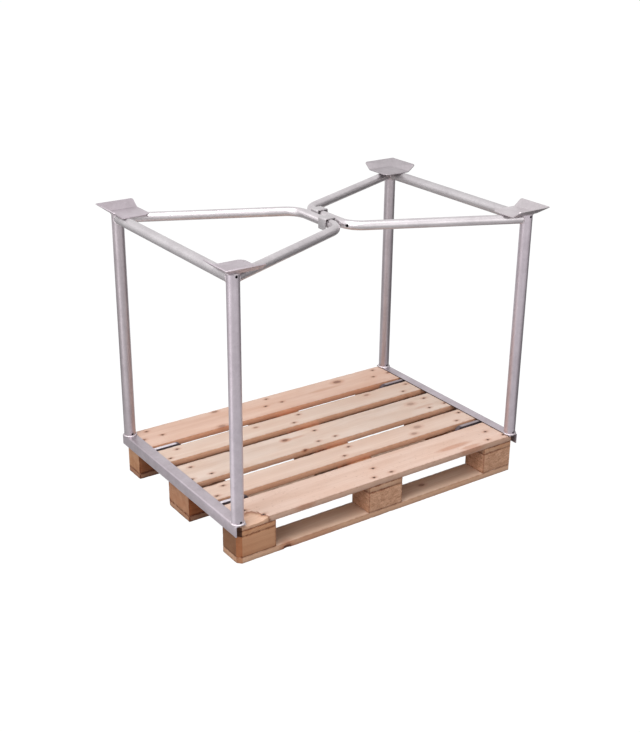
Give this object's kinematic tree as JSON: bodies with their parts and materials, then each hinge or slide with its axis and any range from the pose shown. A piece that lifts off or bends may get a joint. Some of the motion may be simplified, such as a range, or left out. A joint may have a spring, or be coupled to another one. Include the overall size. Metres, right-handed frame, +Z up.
{
  "type": "pallet stacking frame",
  "caption": "Wooden pallet with hooked tubular steel end frames whose uprights carry flared corner plates, on which a further loaded pallet stacks.",
  "frame": {"origin": "on the floor under the middle of the pallet", "axes": "+X along the pallet's length, +Y across its width towards the back, +Z up"},
  "size_m": [1.2912, 0.8762, 1.02],
  "materials": {
    "board_wood": "sawn, untreated softwood",
    "block_wood": "sawn softwood, end grain and sides darker",
    "nail_steel": "dull, slightly rusted",
    "zinc_tube": "hot-dip galvanised, satin",
    "zinc_plate": "hot-dip galvanised, dull satin"
  },
  "bodies": {
    "pallet": {"deck_board_front": "board_wood", "deck_board_front_inner": "board_wood", "deck_board_centre": "board_wood", "deck_board_back_inner": "board_wood", "deck_board_back": "board_wood", "cross_board_left": "board_wood", "cross_board_centre": "board_wood", "cross_board_right": "board_wood", "block_front_left": "block_wood", "block_front_centre": "block_wood", "block_front_right": "block_wood", "block_middle_left": "block_wood", "block_middle_centre": "block_wood", "block_middle_right": "block_wood", "block_back_left": "block_wood", "block_back_centre": "block_wood", "block_back_right": "block_wood", "bottom_board_front": "board_wood", "bottom_board_centre": "board_wood", "bottom_board_back": "board_wood", "deck_nails": "nail_steel", "bottom_nails": "nail_steel"},
    "left_frame": {"left_base_rail": "zinc_plate", "left_upright_front": "zinc_tube", "left_upright_back": "zinc_tube", "left_top_rail": "zinc_tube", "left_bent_tube": "zinc_tube", "left_plate_front": "zinc_plate", "left_plate_back": "zinc_plate", "left_hook": "zinc_plate", "left_tongue_front": "zinc_plate", "left_tongue_back": "zinc_plate"},
    "right_frame": {"right_base_rail": "zinc_plate", "right_upright_front": "zinc_tube", "right_upright_back": "zinc_tube", "right_top_rail": "zinc_tube", "right_bent_tube": "zinc_tube", "right_plate_front": "zinc_plate", "right_plate_back": "zinc_plate", "right_hook": "zinc_plate", "right_tongue_front": "zinc_plate", "right_tongue_back": "zinc_plate"}
  },
  "joints": [
    {"name": "left_frame_lift", "type": "slide", "parent": "pallet", "child": "left_frame", "axis": [0, 0, 1], "range_m": [0, 0.3]},
    {"name": "right_frame_lift", "type": "slide", "parent": "pallet", "child": "right_frame", "axis": [0, 0, 1], "range_m": [0, 0.3]}
  ],
  "couplings": [
    {"joint": "right_frame_lift", "follows": "left_frame_lift", "ratio": 1}
  ]
}
